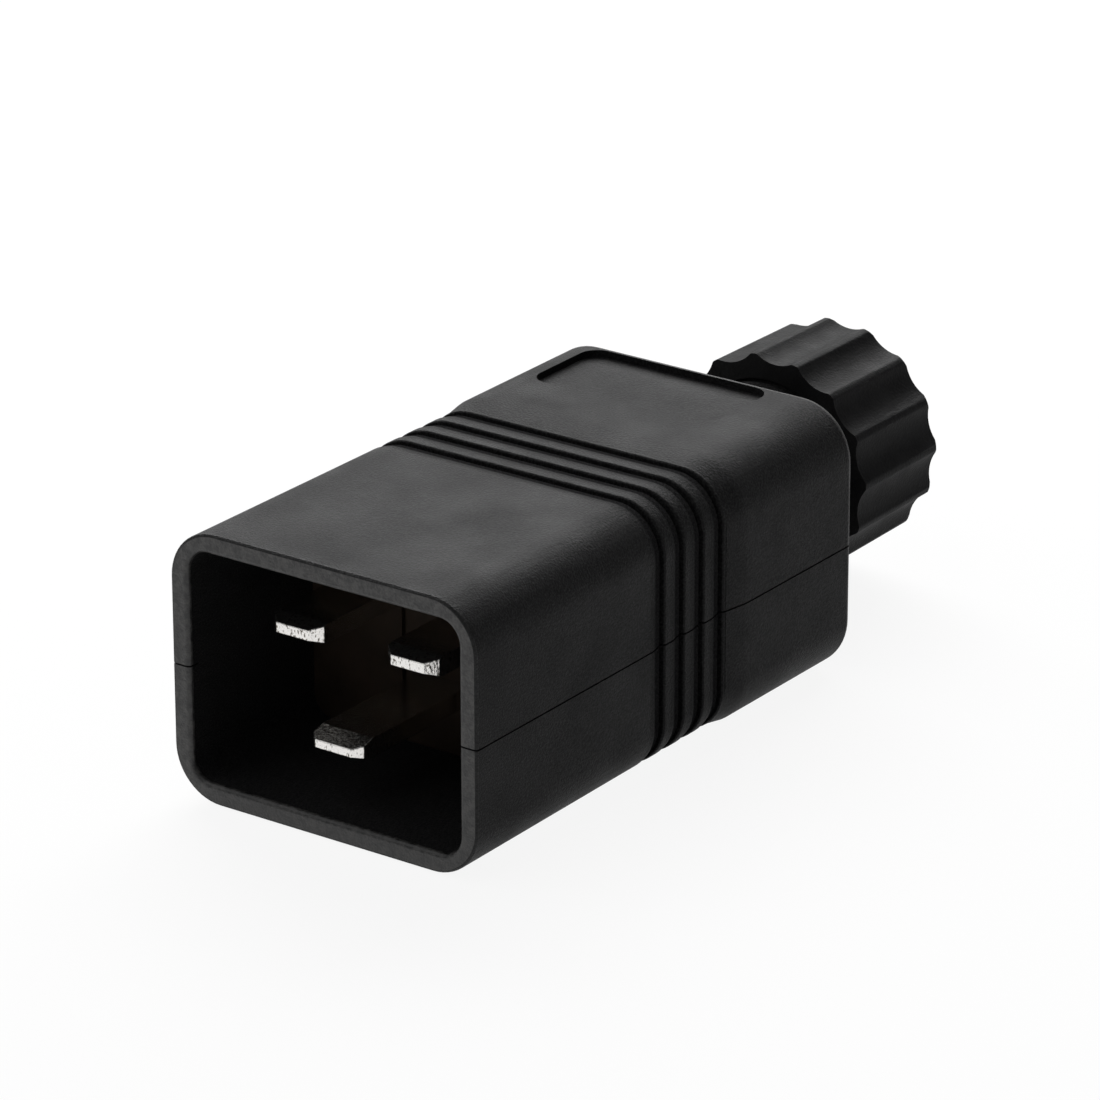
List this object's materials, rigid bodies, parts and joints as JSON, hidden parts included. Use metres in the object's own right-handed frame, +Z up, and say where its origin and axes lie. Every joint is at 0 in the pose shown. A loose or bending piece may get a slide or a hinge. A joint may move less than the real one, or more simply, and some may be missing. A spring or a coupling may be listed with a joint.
{
  "type": "rewireable power plug",
  "caption": "Rewireable in-line power plug: rectangular shroud round flat blades, grooved grip in two moulded halves, and a fluted screw gland that clamps the cable.",
  "frame": {"origin": "centre of the plug's footprint, on the surface that it lies on", "axes": "+Y along the plug from the mouth of the shroud to the gland nut, +Z up to the side with the recessed panel, +X to the right seen from the mouth"},
  "size_m": [0.035, 0.0846, 0.0272],
  "materials": {
    "housing_plastic": "fine spark-eroded grain, matte black",
    "nut_plastic": "moulded matte black",
    "insert_plastic": "moulded matte, dark brown-black",
    "plated_contact": "bright nickel plate over brass",
    "terminal_brass": "stamped brass",
    "screw_steel": "zinc-plated steel",
    "collet_plastic": "moulded dark grey",
    "seal_rubber": "soft black rubber",
    "slip_plastic": "smooth pale acetal"
  },
  "bodies": {
    "housing": {"upper_shell": "housing_plastic", "lower_shell": "housing_plastic", "contact_block": "insert_plastic", "line_pin": "plated_contact", "neutral_pin": "plated_contact", "earth_pin": "plated_contact", "line_cage": "terminal_brass", "neutral_cage": "terminal_brass", "earth_cage": "terminal_brass", "line_plate": "terminal_brass", "neutral_plate": "terminal_brass", "earth_plate": "terminal_brass", "terminal_screws": "screw_steel", "case_screws": "screw_steel"},
    "clamp": {"clamp_collet": "collet_plastic", "cable_seal": "seal_rubber", "slip_ring": "slip_plastic"},
    "gland_nut": {"gland_nut": "nut_plastic"}
  },
  "joints": [
    {"name": "gland_feed", "type": "slide", "parent": "housing", "child": "clamp", "axis": [0, 1, 0], "range_m": [-0.00455, 0.00305]},
    {"name": "gland_turn", "type": "hinge", "parent": "clamp", "child": "gland_nut", "pos_m": [0, 0.0357, 0.0136], "axis": [0, 1, 0], "range_deg": [-1080, 720]}
  ],
  "couplings": [
    {"joint": "gland_feed", "follows": "gland_turn", "m_per_rad": 0.00023873}
  ]
}
